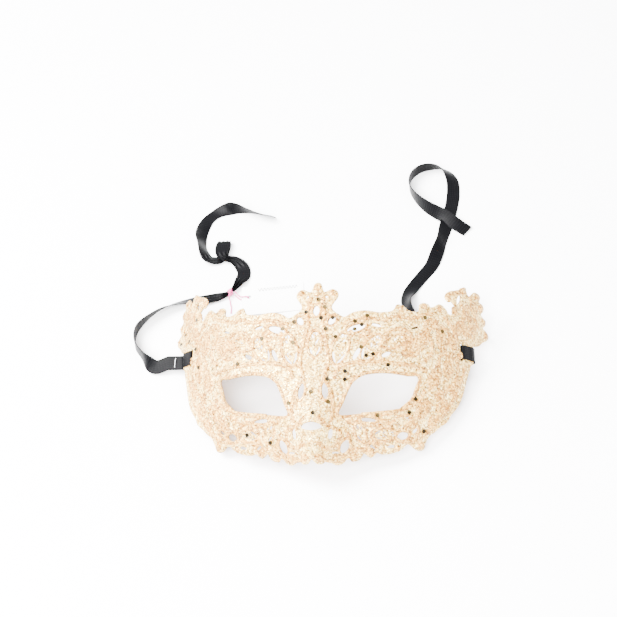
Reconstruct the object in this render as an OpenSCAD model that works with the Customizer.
// Lace half mask with ribbon ties and a blank swing tag, lying face up.
// Origin: on the table under the middle of the mask. +X to the wearer's left,
// +Y towards the crest, +Z up.

/* [Mask] */
// Width of the mask measured flat, round its curve, from ear tip to ear tip
flat_w = 236; // [200:1:290]
// Height of the mask measured flat, from crest to nose edge
flat_h = 112; // [94:1:136]
// Radius of the curve that the mask follows round the face
face_r = 114.5; // [100:0.5:140]
// Thickness of the moulded lace
lace_t = 1.8; // [1.4:0.1:2.6]
// How far the nose bridge stands out at its foot
nose_h = 13; // [6:0.5:18]
// Half width of the nose bridge
nose_w = 13; // [10:0.5:17]
// Radius of the curve from the eyes down to the cheeks
cheek_r = 55; // [45:1:90]
// Radius of the curve from the eyes up to the crest
brow_r = 300; // [200:10:600]
// How far the mask tips towards its chin as it lies
tip_deg = 24.8; // [20:0.2:28]

/* [Eyes] */
// Width of an eye hole, measured flat
eye_w = 47.5; // [40:0.5:54]
// Height of an eye hole
eye_h = 26; // [22:0.5:30]
// Width of the bridge between the inner corners
eye_gap = 30; // [26:0.5:36]

/* [Ribbon] */
// Width of the satin ribbon
ribbon_w = 9; // [6:0.5:10]
// Thickness of the ribbon
ribbon_t = 0.5; // [0.3:0.1:0.6]
// Width of the slot that the ribbon passes through
slot_w = 3; // [2.6:0.1:3.6]
// Spare length of the slot at each end of the ribbon
slot_spare = 1; // [0.6:0.1:1.4]
// Width of the strip of lace outside the slot
strip_w = 8; // [6.5:0.5:9]
// Gap between the ribbon and the lace that it wraps
wrap_gap = 0.35; // [0.3:0.05:0.5]
// Length of doubled ribbon that the staple holds
lap_len = 10; // [8:0.5:13]
// How steeply the right ribbon hangs from its slot
hang_deg = 20; // [10:1:25]
// Thickness of the staple wire
staple_t = 0.5; // [0.4:0.05:0.7]
// Width of the staple
staple_w = 6; // [4:0.5:6.5]
// Width of the ribbon's knot
knot_w = 13; // [10:0.5:14]

/* [Tag] */
// Length of the card tag
tag_l = 41; // [34:1:48]
// Width of the card tag
tag_w = 25; // [20:1:28]
// Thickness of the card
tag_t = 0.4; // [0.3:0.05:0.6]
// Diameter of the hole in the card
tag_hole_d = 3; // [2.6:0.1:4]
// Diameter of the cotton thread
thread_d = 0.9; // [0.6:0.1:1.1]
// How far the tag is turned from the mask's own width
tag_turn = 7; // [0:1:14]

/* [Sequins] */
// Diameter of a sequin
sequin_d = 2.4; // [1.8:0.1:3]
// Thickness of a sequin
sequin_t = 0.3; // [0.2:0.05:0.4]

/* [Hidden] */

// The outline is drawn on a sheet 236 wide and 112 high and stretched to the sizes above.
su = flat_w / 236;
sv = flat_h / 112;
table_gap = 0.1;
joint_gap = 0.5;
// The curved sheet's grid: its columns and rows miss the drawing's own points
cols = 53;
rows = 27;
grid_u = 125.3 * su;
grid_low = -46.7 * sv;
grid_high = 84.1 * sv;

// ---- The curved form that the flat drawing is laid on ----

function deg(u) = u / face_r * 180 / PI;
function ramp(t) = let (c = min(max(t, 0), 1)) c * c * (3 - 2 * c);
function nose_out(u, v) = nose_h * ramp((20 * sv - v) / (54 * sv)) * exp(-pow(u / nose_w, 2));
function fall(v) = v < 0 ? -v * v / (2 * cheek_r) : -v * v / (2 * brow_r);
function across(u) = face_r * sin(deg(u));
function depth(u, v) = face_r * cos(deg(u)) - face_r + fall(v) + nose_out(u, v);
// A point at flat place (u, v), n above the outer face
function on_form(u, v, n = 0) =
  [across(u) + n * sin(deg(u)), v, depth(u, v) + n * cos(deg(u))];
function normal_at(p) =
  let (along = on_form(p.x + 1, p.y) - on_form(p.x - 1, p.y),
    up = on_form(p.x, p.y + 1) - on_form(p.x, p.y - 1))
      unit(cross(along, up));
// Mask frame to table frame
function tipped(p) = [p.x, p.y * cos(tip_deg) - p.z * sin(tip_deg),
  p.y * sin(tip_deg) + p.z * cos(tip_deg)];

// ---- Outline of the right half, flat, from crest to nose ----

half_outline = [[0, 70], [2.5, 69], [4.5, 65.5], [8, 65], [9.5, 61], [10, 57.5], [8.5, 54.5],
  [12.5, 50.3], [17, 48.5], [22, 51.8], [27, 53.4], [33, 53.6], [39, 52.8], [45, 53.8], [48, 57],
  [50.5, 59.5], [53.5, 57.5], [58, 55.2], [62, 57.2], [66, 58.5], [69.5, 59], [73, 61.5], [76, 62.8],
  [79, 60.5], [81, 57], [83.5, 55], [87, 56.5], [89.5, 60], [89.5, 64], [88, 67], [91, 73], [97, 77],
  [104, 76.5], [108.5, 72.5], [109.5, 67], [108.5, 62.5], [113.5, 61], [112, 56], [113.5, 51.5],
  [110, 47], [107.5, 43.5], [104, 41.5], [103, 40.5],
  [103, 30], [100.3, 26], [98, 20.5], [95.5, 15], [93, 10],
  [90, 5], [86.5, -0.5], [82, -5.5], [76, -11.5], [68, -18], [64.5, -22], [62, -26.5],
  [56.5, -25.6], [53, -24.5], [49.5, -27.4], [44, -29], [38, -30.8], [34, -31.5], [28, -32.5],
  [24, -35.2], [17, -37], [13, -39.6], [8, -39.8], [4, -41], [0, -40.6]];
balls = [[10.5, 64, 2.9], [65, 60.2, 2.4], [97, 76.5, 2], [105, 75.5, 2.5], [114, 60, 2.6],
  [115.5, 50.5, 2.8], [31.8, -31.4, 3.2]];
curl = [[93, 70, 5], [88, 72, 3], [84, 72.6, 2.2], [80.5, 71, 2.4], [79.5, 69, 2.6]];
crest_ball = [0, 69, 3];

// The openwork: u, v, length, width and turn of each leaf-shaped window
leaves = [[15, 30, 20, 8.5, 76], [33, 31, 19, 8, 58], [9.5, 47.5, 6, 3.6, 60], [47, 36, 14, 6, 30],
  [24, 43, 12, 4, 20], [64, 38, 13, 5.5, 50], [78, 40, 12, 5, 100], [7, 4, 11, 3.6, 96],
  [73, 16, 13, 5, 65], [83, 24, 12, 5, 80], [51, -12.5, 14, 5.5, 32], [65, -4, 12, 4.5, 50],
  [41, -19.5, 13, 6, 8], [27, -19, 10, 5.5, 105], [18, -27, 9, 4, 60], [52, -19.5, 8, 4, 20]];
middle_leaves = [[0, 34, 15, 7.5, 90], [0, 54, 8, 5, 90], [0, -18, 6, 12, 90]];

function mirrored(pts) = [for (i = [len(pts) - 1:-1:0]) [-pts[i].x, pts[i].y]];
function stretched(pts) = [for (p = pts) [p.x * su, p.y * sv]];
function laid(pts) = [for (p = pts) [across(p.x), p.y]];
whole_outline = concat(stretched(half_outline), mirrored(stretched(half_outline)));

// Eye hole, as shares of its width from the inner corner and of its height from the foot
eye_shape = [[0, 0.02], [0.05, 0.26], [0.1, 0.5], [0.16, 0.73], [0.24, 0.87], [0.34, 0.95],
  [0.52, 1], [0.7, 1], [0.86, 0.98], [1, 0.98], [0.95, 0.7], [0.905, 0.5], [0.82, 0.34],
  [0.69, 0.16], [0.54, 0.09], [0.32, 0.075], [0.15, 0.03]];
eye_foot = -10 * sv;
function eye_points() = [for (p = eye_shape) [eye_gap / 2 + p.x * eye_w, eye_foot + p.y * eye_h]];

// A leaf with two round sides and pointed ends
function leaf_points(c, l, w, turn) =
  [for (i = [0:11]) let (a = i * 30, x = l / 2 * cos(a), y = w / 2 * sin(a) * pow(abs(sin(a)), 0.4))
    [c.x + x * cos(turn) - y * sin(turn), c.y + x * sin(turn) + y * cos(turn)]];

// ---- How the mask lies: lowest points on the table, middle over the origin ----

function squeeze(b) = max(cos(deg(b.x * su)), 0.5);
function ball_rim(b) = [for (a = [0:30:330])
  [across(b.x * su) + b.z * squeeze(b) * cos(a), b.y * sv + b.z * sin(a)]];
// Where a wall cut straight down meets the inner and the outer face
function foot_of(p) = [p.x, p.y,
  sqrt(pow(face_r - lace_t, 2) - p.x * p.x) - face_r + fall(p.y) + nose_out(p.x, p.y)];
function top_of(p) = foot_of(p) + [0, 0, lace_t];
rim = concat(laid(stretched(half_outline)), [for (b = concat([crest_ball], balls)) each ball_rim(b)]);
feet = [for (p = rim) tipped(foot_of(p))];
tops = [for (p = rim) tipped(top_of(p))];
// The flat facets of the sheet cut inside its round curve by this much
facet_sag = pow(2 * grid_u / cols, 2) / (8 * (face_r - lace_t));
lift = -min([for (p = feet) p.z]) + 3 * facet_sag;
y_mid = (max([for (p = feet) p.y]) + min([for (p = tops) p.y])) / 2;
function placed(p) = tipped(p) + [0, -y_mid, lift];

module lying() {
  translate([0, -y_mid, lift])
    rotate([tip_deg, 0, 0])
      children();
}

// ---- Mask shell ----

us = [for (i = [0:cols]) -grid_u + i * 2 * grid_u / cols];
vs = [for (j = [0:rows]) grid_low + j * (grid_high - grid_low) / rows];

// A closed sheet: the outer face, then the inner face, then the walls between their rims
module curved_sheet() {
  nu = len(us);
  nv = len(vs);
  function id(i, j, k) = k * nu * nv + i * nv + j;
  pts = [for (k = [0, 1]) for (u = us) for (v = vs) on_form(u, v, -k * lace_t)];
  faces_up = [for (i = [0:nu - 2]) for (j = [0:nv - 2]) for (t = [0, 1])
    t == 0 ? [id(i, j, 0), id(i, j + 1, 0), id(i + 1, j + 1, 0)]
           : [id(i, j, 0), id(i + 1, j + 1, 0), id(i + 1, j, 0)]];
  soles = [for (f = faces_up) [f[0] + nu * nv, f[2] + nu * nv, f[1] + nu * nv]];
  rims = concat([for (i = [0:nu - 1]) [i, 0]], [for (j = [1:nv - 1]) [nu - 1, j]],
    [for (i = [nu - 2:-1:0]) [i, nv - 1]], [for (j = [nv - 2:-1:1]) [0, j]]);
  walls = [for (k = [0:len(rims) - 1])
    let (a = rims[k], b = rims[(k + 1) % len(rims)])
      each [[id(a.x, a.y, 0), id(b.x, b.y, 0), id(b.x, b.y, 1)],
        [id(a.x, a.y, 0), id(b.x, b.y, 1), id(a.x, a.y, 1)]]];
  polyhedron(pts, concat(faces_up, soles, walls));
}

module ball_at(b) {
  translate([across(b.x * su), b.y * sv])
    scale([squeeze(b), 1])
      circle(b.z, $fn = 20);
}

module curl_arm() {
  for (i = [0:len(curl) - 2])
    hull() {
      ball_at(curl[i]);
      ball_at(curl[i + 1]);
    }
}

module leaf(l) {
  polygon(laid(leaf_points([l[0] * su, l[1] * sv], l[2] * su, l[3] * sv, l[4])));
}

module flat_pattern() {
  difference() {
    union() {
      polygon(laid(whole_outline));
      ball_at(crest_ball);
      for (m = [0, 1])
        mirror([m, 0]) {
          for (b = balls)
            ball_at(b);
          curl_arm();
        }
    }
    for (m = [0, 1])
      mirror([m, 0]) {
        polygon(laid(eye_points()));
        for (l = leaves)
          leaf(l);
      }
    for (l = middle_leaves)
      leaf(l);
  }
}

// The slot's place: strip_w and half the slot in from the edge of the wing
slot_v = 35.5 * sv;
edge_u = 103 * su;
slot_u = edge_u - strip_w - slot_w / 2;
slot_len = ribbon_w + 2 * slot_spare;
slot_lean = atan(slot_v / brow_r * cos(deg(slot_u)));

// Puts children in the frame of the wing at the slot: +X out along the wing, +Z off its face
module at_slot(side) {
  lying()
    mirror([side < 0 ? 1 : 0, 0, 0])
      translate([across(slot_u), slot_v, depth(slot_u, slot_v)])
        rotate([0, deg(slot_u), 0])
          rotate([-slot_lean, 0, 0])
            children();
}

module slot_cutter() {
  translate([across(slot_u), slot_v, depth(slot_u, slot_v)])
    rotate([0, deg(slot_u), 0])
      rotate([-slot_lean, 0, 0])
        cube([slot_w, slot_len, 6 * lace_t], center = true);
}

module mask_shell() {
  color([0.9, 0.78, 0.6])
    lying()
      difference() {
        intersection() {
          curved_sheet();
          translate([0, 0, -120])
            linear_extrude(160)
              flat_pattern();
        }
        for (m = [0, 1])
          mirror([m, 0, 0])
            slot_cutter();
      }
}

// ---- Sequins, glued to the outer face ----

sequin_at = [[1, 61], [-6, 53], [5, 56], [3, 49], [10, 49], [6, 42], [12, 37], [-13, 34], [-20, 43],
  [-33, 38], [-49, 24], [-13, 47], [30, 51], [23, 47], [27, 45], [23, 42], [27, 31], [30, 26],
  [34, 27], [43, 21], [18, 16], [18, 11], [8, 11], [-1, 3], [9, -3], [-14, -3], [1, -10], [60, 2],
  [56, -6], [65, -16], [37, -9], [66, 53], [78, 46], [-41, -19], [-26, -24], [-83, 27], [-88, 40],
  [-97, 47], [-104, 53], [-110, 48], [-90, 60]];

module sequins() {
  color([0.35, 0.25, 0.1])
    lying()
      for (s = sequin_at)
        let (at = [s.x * su, s.y * sv], n = normal_at(at))
          translate(on_form(at.x, at.y) + 0.2 * n)
            rotate(acos(n.z), cross([0, 0, 1], n))
              cylinder(h = sequin_t, d = sequin_d, $fn = 24);
}

// ---- Ribbon loops and staples, in the wing's own frame ----

// s along the wing from the slot, n off its outer face
function wing(s, n) = [(face_r + n) * sin(deg(s)), (face_r + n) * cos(deg(s)) - face_r];
function unit(v) = v / norm(v);
function side_of(path, i) =
  let (d = unit(path[min(i + 1, len(path) - 1)] - path[max(i - 1, 0)])) [-d.y, d.x];
function band(path, t) = concat([for (i = [0:len(path) - 1]) path[i] + side_of(path, i) * t / 2],
  [for (i = [len(path) - 1:-1:0]) path[i] - side_of(path, i) * t / 2]);

over = wrap_gap + ribbon_t / 2;
under = -lace_t - wrap_gap - ribbon_t / 2;
strip_out = slot_w / 2 + strip_w;
bevel = lace_t * tan(deg(edge_u));
lip = strip_out + bevel;
layer = ribbon_t + 0.1;
lap_rise = deg(slot_u) - 10;

// Left: both layers leave outwards past the edge of the wing and are stapled there
lap_start = wing(lip + 2.2, (over + under) / 2);
lap_end = lap_start + lap_len * [cos(lap_rise), sin(lap_rise)];
lap_side = layer / 2 * [-sin(lap_rise), cos(lap_rise)];
left_path = concat([lap_end + lap_side, lap_start + lap_side],
  [for (s = [strip_out, strip_out / 2, 0.7]) wing(s, over)],
  [wing(-0.3, over - 0.4), wing(-0.3, under + 0.4)],
  [for (s = [0.7, strip_out / 2, lip]) wing(s, under)],
  [lap_start - lap_side, lap_end - lap_side]);

// Right: both layers hang inwards from the slot, behind the wing, and are stapled there
hang = deg(slot_u) + hang_deg;
hang_way = [-cos(hang), -sin(hang)];
hang_start = wing(-0.6, under - layer / 2) + 1.6 * hang_way;
hang_end = hang_start + lap_len * hang_way;
hang_side = layer / 2 * [-hang_way.y, hang_way.x];
right_path = concat([hang_end - hang_side, hang_start - hang_side],
  [wing(0.1, under + 0.5), wing(0.1, over - 0.5)],
  [for (s = [0.8, strip_out / 2, strip_out]) wing(s, over)],
  [wing(lip + 1, under + 0.8), wing(lip + 0.5, under - layer)],
  [for (s = [strip_out / 2, 1.5]) wing(s, under - layer)],
  [hang_start + hang_side, hang_end + hang_side]);

module wing_band(path) {
  rotate([90, 0, 0])
    linear_extrude(ribbon_w, center = true)
      polygon(band(path, ribbon_t));
}

module left_ribbon_loop() {
  color([0.05, 0.05, 0.06])
    at_slot(-1)
      wing_band(left_path);
}

module right_ribbon_loop() {
  color([0.05, 0.05, 0.06])
    at_slot(1)
      wing_band(right_path);
}

// A wire bar on each side of the doubled ribbon, as a closed staple shows
module staple() {
  for (n = [1, -1])
    translate([0, 0, n * (layer / 2 + ribbon_t / 2 + staple_t / 2)])
      cube([staple_t, staple_w, staple_t], center = true);
}

module left_staple() {
  color([0.7, 0.7, 0.72])
    at_slot(-1)
      translate([(lap_start.x + lap_end.x) / 2, 0, (lap_start.y + lap_end.y) / 2])
        rotate([0, -lap_rise, 0])
          staple();
}

module right_staple() {
  color([0.7, 0.7, 0.72])
    at_slot(1)
      translate([(hang_start.x + hang_end.x) / 2, 0, (hang_start.y + hang_end.y) / 2])
        rotate([0, 180 - hang, 0])
          staple();
}

// ---- Free ribbons: x, y, turn from flat, lift and share of the full width ----

// A place in the wing's frame, given in the table frame
function from_slot(side, p) =
  let (a = deg(slot_u), off = [sin(a), 0, cos(a)],
    z = off * cos(slot_lean) + [0, sin(slot_lean), 0],
    q = on_form(slot_u, slot_v) + p.x * [cos(a), 0, -sin(a)] + p.y * z)
      placed([side * q.x, q.y, q.z]);

left_root = from_slot(-1, lap_end + joint_gap * [cos(lap_rise), sin(lap_rise)]);
right_root = from_slot(1, hang_end + joint_gap * hang_way);
// The thread gathers the ribbon into a bundle, which rests on the thread's own thickness
tie_share = 0.26;
tie_bore = ribbon_w * (tie_share + 0.06);
tie_rise = tie_bore / 2 + thread_d - ribbon_t / 2;

left_route = [[-110, 23, 140, 0, 1], [-116, 27, 115, 0, 1], [-121, 33, 100, 0, 1],
  [-126, 40, 95, 0, 1], [-128, 48, 95, 0, 1], [-127, 56, 102, 0, 1], [-122, 64, 112, 0, 1],
  [-115, 71, 122, 0, 1], [-107, 76, 140, 0, 1], [-98, 79, 155, 0, 1], [-88, 81, 165, 0, 1],
  [-79, 83, 172, 0.2, 0.9], [-74, 84, 178, tie_rise * 0.7, 0.5], [-70, 86, 180, tie_rise, tie_share],
  [-67.2, 90, 182, tie_rise + 0.2, 0.45], [-65, 95, 186, tie_rise, 0.75], [-63.4, 100, 184, 0.6, 1],
  [-63.4, 105.5, 178, 0, 1], [-65.4, 110, 174, 0, 1], [-68.6, 113.8, 172, 0.5, 0.85],
  [-72, 116, 172, 1, 0.7]];
left_tail_route = [[-82.8, 116, 180, 1, 0.7], [-89, 117, 200, 0.4, 0.9], [-92, 121, 220, 0, 1],
  [-95, 129, 240, 0, 1], [-97, 138, 220, 0, 1], [-97, 147, 198, 0, 1], [-95, 156, 184, 0, 1],
  [-90, 162, 184, 0, 1], [-83.5, 164.3, 206, 0, 1], [-76, 163, 256, 0, 1], [-67, 160.6, 294, 0, 1],
  [-57, 157, 307, 0, 1], [-48, 154, 307, 0, 1]];
right_route = [[65, 22, 160, 4.5, 1], [60, 27, 166, 2, 1], [57, 34, 172, 0.6, 1], [54, 43, 178, 0, 1],
  [52, 52, 170, 0, 1], [49.5, 61, 146, 0, 1], [47.5, 69, 126, 0, 1], [47, 76, 148, 0, 1],
  [48.5, 83, 172, 0, 1], [52, 90, 180, 0, 1],
  [57, 98, 180, 0, 1], [62, 106, 186, 0, 1], [65, 115, 204, 0, 1], [68, 125, 228, 0, 1],
  [70, 137, 210, 0, 1], [72, 149, 190, 0, 1], [74, 161, 184, 0, 1], [75, 173, 190, 0, 1],
  [74, 185, 204, 0, 1], [69, 194, 228, 0, 1], [61, 197, 248, 0, 1], [52, 195, 262, 0, 1],
  [46, 188, 268, 0, 1], [45, 178, 270, 0, 1], [49, 168, 264, 0, 1], [56, 159, 252, 0, 1],
  [64, 152, 232, 0.6, 1], [70, 148, 208, 1.5, 1], [77, 142, 196, 1, 1], [85, 136, 188, 0, 1]];

function rad_side(d) = let (h = norm([d.x, d.y])) [-d.y / h, d.x / h, 0];
// Height of a ribbon's middle when its lower edge or face is on the table
function rest_height(turn, share) = table_gap + abs(sin(turn)) * ribbon_w * share / 2
  + abs(cos(turn)) * ribbon_t / 2;
function route_points(route) =
  [for (r = route) [r[0], r[1], rest_height(r[2], r[4]) + r[3]]];
function heading(pts, i) = unit(pts[min(i + 1, len(pts) - 1)] - pts[max(i - 1, 0)]);
function half_width(pts, i, turn) =
  let (d = heading(pts, i), s = rad_side(d)) cos(turn) * s + sin(turn) * cross(d, s);

// Eight places round a ribbon's section: flat faces and softly thinned edges
section = [[1, 0.4], [0.9, 1], [-0.9, 1], [-1, 0.4], [-1, -0.4], [-0.9, -1], [0.9, -1], [1, -0.4]];

module swept_ribbon(pts, turns, shares) {
  n = len(section);
  rings = [for (i = [0:len(pts) - 1])
    let (w = half_width(pts, i, turns[i]), t = cross(heading(pts, i), w))
      each [for (q = section)
        pts[i] + q.x * ribbon_w * shares[i] / 2 * w + q.y * ribbon_t / 2 * t]];
  last = len(pts) - 1;
  // Both faces are split along the same diagonal, so that they stay parallel where the ribbon twists
  sides = [for (i = [0:last - 1]) for (k = [0:n - 1])
    let (a = i * n + k, b = i * n + (k + 1) % n)
      each k < n / 2 ? [[a, b + n, b], [a, a + n, b + n]] : [[a, a + n, b], [b, a + n, b + n]]];
  polyhedron(rings, concat(sides, [[for (k = [0:n - 1]) k]], [[for (k = [n - 1:-1:0]) last * n + k]]));
}

// The first ring of each run is narrow, so that the run can swing on its staple
root_turn = 180 - tip_deg;
root_share = 0.15;
module left_ribbon() {
  pts = concat([left_root], [left_root + [-6, 1, -1.2]], route_points(left_route));
  color([0.05, 0.05, 0.06])
    swept_ribbon(pts, concat([root_turn, root_turn], [for (r = left_route) r[2]]),
      concat([root_share, 1], [for (r = left_route) r[4]]));
}

module left_ribbon_tail() {
  color([0.05, 0.05, 0.06])
    swept_ribbon(route_points(left_tail_route), [for (r = left_tail_route) r[2]],
      [for (r = left_tail_route) r[4]]);
}

module right_ribbon() {
  pts = concat([right_root], route_points(right_route));
  color([0.05, 0.05, 0.06])
    swept_ribbon(pts, concat([root_turn], [for (r = right_route) r[2]]),
      concat([root_share], [for (r = right_route) r[4]]));
}

// The knot reaches from the end of the run to the start of the tail
knot_from = route_points(left_route)[len(left_route) - 1];
knot_to = route_points(left_tail_route)[0];
module left_ribbon_knot() {
  mid = (knot_from + knot_to) / 2;
  color([0.04, 0.04, 0.05])
    hull() {
      translate([mid.x - 1, mid.y, knot_w * 0.27 + table_gap])
        sphere(knot_w * 0.27, $fn = 24);
      translate([mid.x - 2, mid.y + 12, knot_w * 0.22 + table_gap])
        sphere(knot_w * 0.22, $fn = 24);
      translate([mid.x + 3, mid.y - 1, knot_w * 0.25 + table_gap])
        sphere(knot_w * 0.25, $fn = 24);
    }
}

// ---- Tag and its cotton thread ----

tie_at = route_points(left_route)[13];
tie_turn = 45;
tag_corner = [-60, 66];
tag_lift = thread_d + 0.3;
hole_in = 5;
hole_up = tag_w * 0.62;
// A place on the card: along it, up it and off its face
function on_tag(x, y, z) =
  let (rise = asin(tag_lift / tag_l), a = x * cos(rise) + z * sin(rise))
    [tag_corner.x + a * cos(tag_turn) - y * sin(tag_turn),
     tag_corner.y + a * sin(tag_turn) + y * cos(tag_turn),
     table_gap + (tag_l - x) * sin(rise) + z * cos(rise)];

module swept_thread(pts) {
  n = 8;
  rings = [for (i = [0:len(pts) - 1])
    let (d = heading(pts, i), aside = abs(d.z) > 0.9 ? [0, 1, 0] : [0, 0, 1],
      s = unit(cross(d, aside)), t = cross(s, d))
      each [for (k = [0:n - 1])
        pts[i] + thread_d / 2 * (cos(k * 360 / n) * s + sin(k * 360 / n) * t)]];
  last = len(pts) - 1;
  sides = [for (i = [0:last - 1]) for (k = [0:n - 1])
    let (a = i * n + k, b = i * n + (k + 1) % n)
      each [[a, b, b + n], [a, b + n, a + n]]];
  polyhedron(rings, concat(sides, [[for (k = [n - 1:-1:0]) k]], [[for (k = [0:n - 1]) last * n + k]]));
}

// A wound ring that pinches the ribbon, with one loose end
loose_end = [[-0.4, -3.4, -1], [0, -5.5, -1.4], [1, -9, -2], [2, -13, -2], [2.2, -17, -2]];
module thread_tie() {
  color([0.9, 0.35, 0.6]) {
    translate(tie_at)
      rotate([0, 0, tie_turn])
        rotate([0, 90, 0])
          difference() {
            cylinder(h = 2.2 * thread_d, d = tie_bore + 2 * thread_d, center = true, $fn = 32);
            cylinder(h = 3 * thread_d, d = tie_bore, center = true, $fn = 32);
          }
    swept_thread([for (p = loose_end)
      [tie_at.x + p.x, tie_at.y + p.y, max(tie_at.z + p.z, thread_d / 2 + table_gap)]]);
  }
}

// The thread goes over the card's edge, down its hole and back underneath
module tag_thread() {
  from = [tie_at.x + tie_bore / 2 + 2 * thread_d, tie_at.y - 0.6, 0];
  clear = thread_d / 2 + 0.1;
  x = hole_in - tag_hole_d / 2 + thread_d;
  color([0.9, 0.35, 0.6])
    swept_thread([from + [0, 0.8, 2.6], on_tag(-1, hole_up + 0.5, tag_t + clear + 0.2),
      on_tag(x - 1.6, hole_up + 0.2, tag_t + clear + 0.3), on_tag(x - 0.3, hole_up, tag_t + 0.3),
      on_tag(x, hole_up, tag_t / 2), on_tag(x - 0.3, hole_up, -0.3),
      on_tag(x - 1.4, hole_up - 0.2, -clear), on_tag(-1, hole_up - 0.4, -clear),
      from + [0, -0.8, thread_d / 2 + table_gap]]);
}

module tag_card() {
  corner = 1.5;
  rise = asin(tag_lift / tag_l);
  color([0.97, 0.97, 0.96])
    translate([tag_corner.x, tag_corner.y, table_gap + tag_lift])
      rotate([0, 0, tag_turn])
        rotate([0, rise, 0])
          difference() {
            union() {
              translate([corner, 0, 0])
                cube([tag_l - 2 * corner, tag_w, tag_t]);
              translate([0, corner, 0])
                cube([tag_l, tag_w - 2 * corner, tag_t]);
              for (x = [corner, tag_l - corner])
                for (y = [corner, tag_w - corner])
                  translate([x, y, 0])
                    cylinder(h = tag_t, r = corner, $fn = 32);
            }
            translate([hole_in, hole_up, -1])
              cylinder(h = tag_t + 2, d = tag_hole_d, $fn = 32);
          }
}

mask_shell();
sequins();
left_ribbon_loop();
left_staple();
left_ribbon();
left_ribbon_knot();
left_ribbon_tail();
thread_tie();
tag_thread();
tag_card();
right_ribbon_loop();
right_staple();
right_ribbon();
